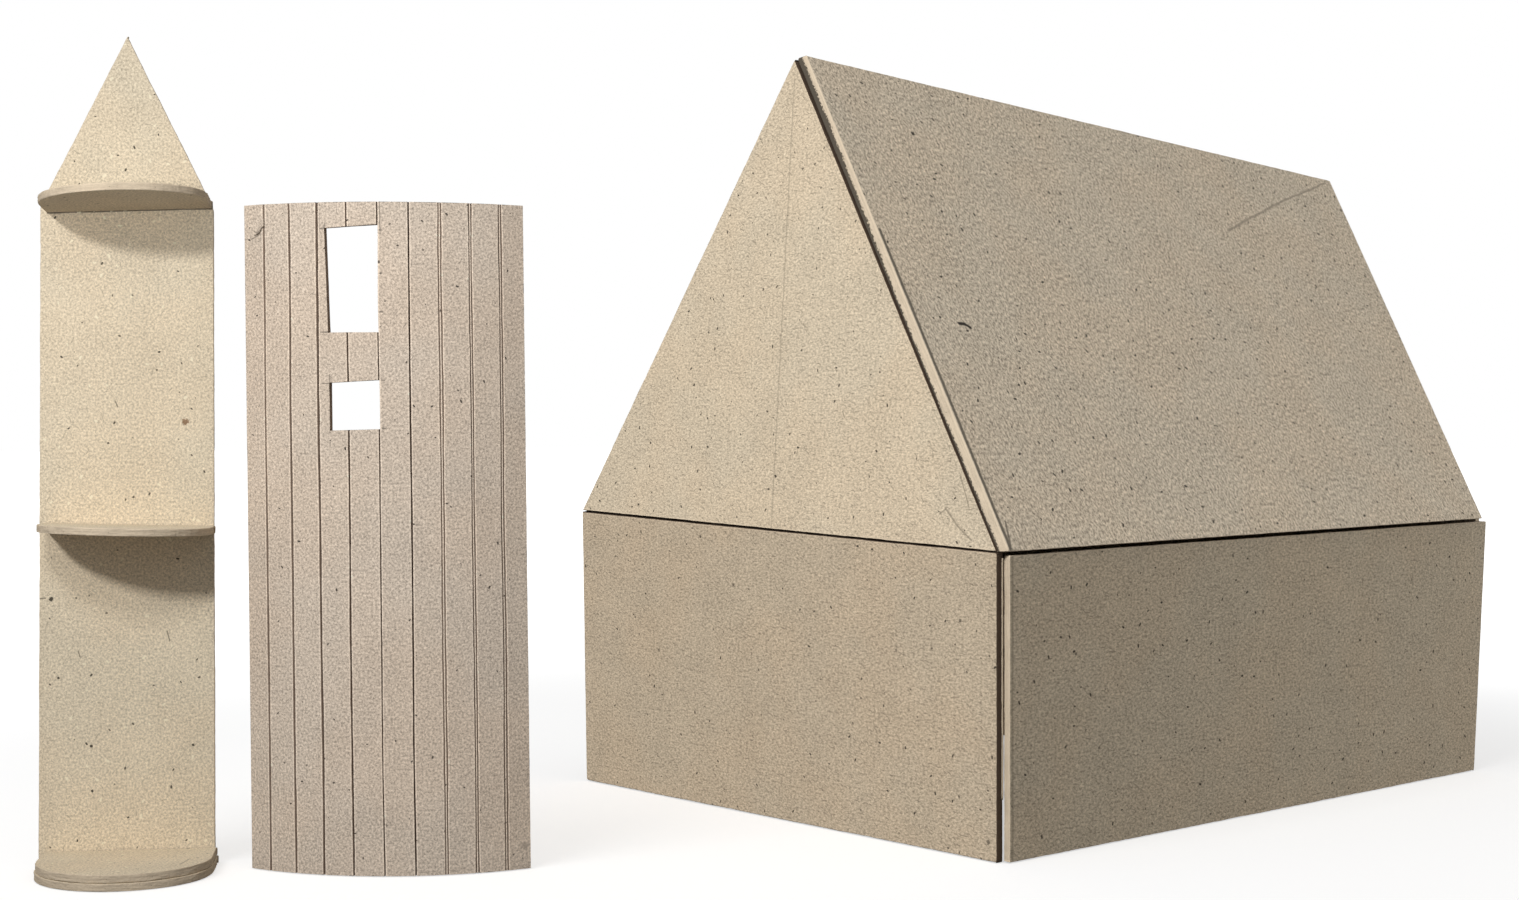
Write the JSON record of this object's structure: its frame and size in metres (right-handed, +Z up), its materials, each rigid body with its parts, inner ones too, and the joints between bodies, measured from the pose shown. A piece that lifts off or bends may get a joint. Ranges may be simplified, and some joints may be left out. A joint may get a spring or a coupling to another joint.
{
  "type": "cardboard castle",
  "caption": "Greyboard craft castle set: a pointed tower frame with half-round shelves, its scored curved wall with two windows, and a gabled hall folded from half-cut boards.",
  "frame": {"origin": "on the table under the tower frame's base, on the middle line of its back panel, 17 mm in front of the panel's face", "axes": "+Z up; +Y square to the hall's front gable and into the hall, +X along that gable to the right wall; the tower frame faces 59 degrees and the scored sheet 50 degrees round from -Y towards +X"},
  "size_m": [0.2525, 0.628, 0.2996],
  "materials": {
    "tower_greyboard": "matt",
    "wall_greyboard": "matt",
    "hall_greyboard": "matt"
  },
  "bodies": {
    "root": {"tower_back_panel": "tower_greyboard", "base_half_disc_lower": "tower_greyboard", "base_half_disc_upper": "tower_greyboard", "middle_half_disc": "tower_greyboard", "top_half_disc": "tower_greyboard", "tower_wall": "wall_greyboard", "hall_front_sheet": "hall_greyboard", "hall_rear_sheet": "hall_greyboard", "right_roof_panel": "hall_greyboard", "left_roof_panel": "hall_greyboard"}
  },
  "joints": []
}
